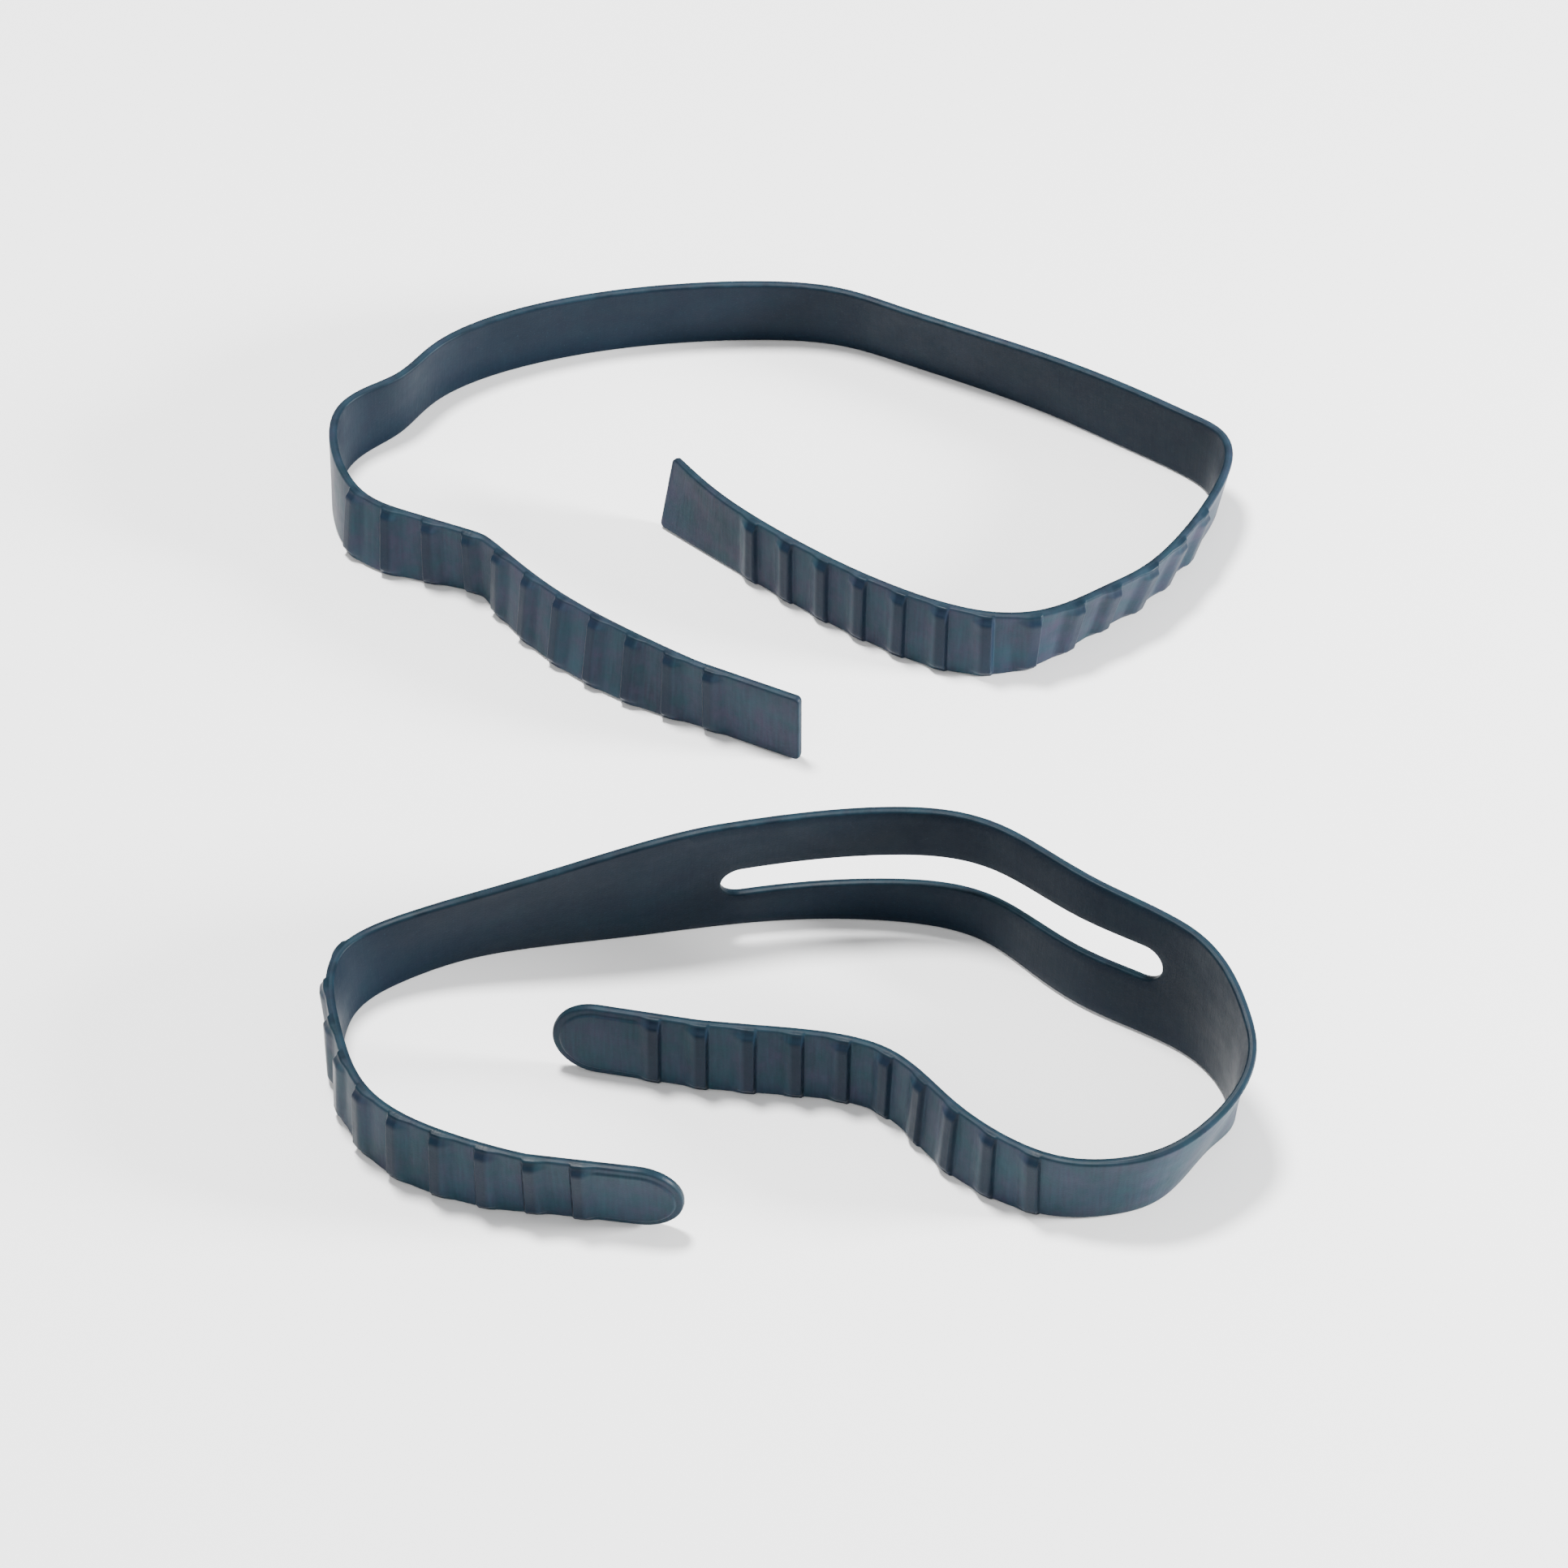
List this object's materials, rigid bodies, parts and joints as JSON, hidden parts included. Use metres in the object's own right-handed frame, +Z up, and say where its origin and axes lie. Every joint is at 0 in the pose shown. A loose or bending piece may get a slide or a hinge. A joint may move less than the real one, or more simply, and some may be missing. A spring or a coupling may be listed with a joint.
{
  "type": "rubber adjusting strap set",
  "caption": "Two moulded rubber straps standing on edge as open loops: a plain one with square ends, and a split one with round tips and a slotted wide back; both have cross ribs on the tails.",
  "frame": {"origin": "centre of the set's outline on the surface that the straps stand on", "axes": "+Z up, +Y from the tails towards the middle of both backs, +X to the right"},
  "size_m": [0.2158, 0.2845, 0.0372],
  "materials": {
    "plain_strap_rubber": "satin, slate blue, moulded",
    "split_strap_rubber": "satin, slate blue, moulded"
  },
  "bodies": {
    "backs": {"plain_strap_back": "plain_strap_rubber", "split_strap_back": "split_strap_rubber"},
    "plain_left_side": {"plain_strap_left_side": "plain_strap_rubber"},
    "plain_left_tail": {"plain_strap_left_tail": "plain_strap_rubber"},
    "plain_right_side": {"plain_strap_right_side": "plain_strap_rubber"},
    "plain_right_tail": {"plain_strap_right_tail": "plain_strap_rubber"},
    "split_left_side": {"split_strap_left_side": "split_strap_rubber"},
    "split_left_tail": {"split_strap_left_tail": "split_strap_rubber"},
    "split_right_side": {"split_strap_right_side": "split_strap_rubber"},
    "split_right_tail": {"split_strap_right_tail": "split_strap_rubber"}
  },
  "joints": [
    {"name": "plain_left_side_flex", "type": "hinge", "parent": "backs", "child": "plain_left_side", "pos_m": [-0.10676, 0.08771, 0], "axis": [0, 0, -1], "range_deg": [0, 30], "stiffness_Nm_per_rad": 0.004},
    {"name": "plain_left_tail_flex", "type": "hinge", "parent": "plain_left_side", "child": "plain_left_tail", "pos_m": [-0.06231, 0.04206, 0], "axis": [0, 0, -1], "range_deg": [-6, 30], "stiffness_Nm_per_rad": 0.004},
    {"name": "plain_right_side_flex", "type": "hinge", "parent": "backs", "child": "plain_right_side", "pos_m": [0.1029, 0.08869, 0], "axis": [0, 0, 1], "range_deg": [-12, 14], "stiffness_Nm_per_rad": 0.004},
    {"name": "plain_right_tail_flex", "type": "hinge", "parent": "plain_right_side", "child": "plain_right_tail", "pos_m": [0.0431, 0.02694, 0], "axis": [0, 0, 1], "range_deg": [-20, 12], "stiffness_Nm_per_rad": 0.004},
    {"name": "split_left_side_flex", "type": "hinge", "parent": "backs", "child": "split_left_side", "pos_m": [-0.08646, -0.07034, 0], "axis": [0, 0, -1], "range_deg": [0, 30], "stiffness_Nm_per_rad": 0.004},
    {"name": "split_left_tail_flex", "type": "hinge", "parent": "split_left_side", "child": "split_left_tail", "pos_m": [-0.09275, -0.11311, 0], "axis": [0, 0, -1], "range_deg": [-5, 35], "stiffness_Nm_per_rad": 0.004},
    {"name": "split_right_side_flex", "type": "hinge", "parent": "backs", "child": "split_right_side", "pos_m": [0.09984, -0.11124, 0], "axis": [0, 0, 1], "range_deg": [-4, 8], "stiffness_Nm_per_rad": 0.004},
    {"name": "split_right_tail_flex", "type": "hinge", "parent": "split_right_side", "child": "split_right_tail", "pos_m": [0.05018, -0.13325, 0], "axis": [0, 0, 1], "range_deg": [-7, 6], "stiffness_Nm_per_rad": 0.004}
  ]
}
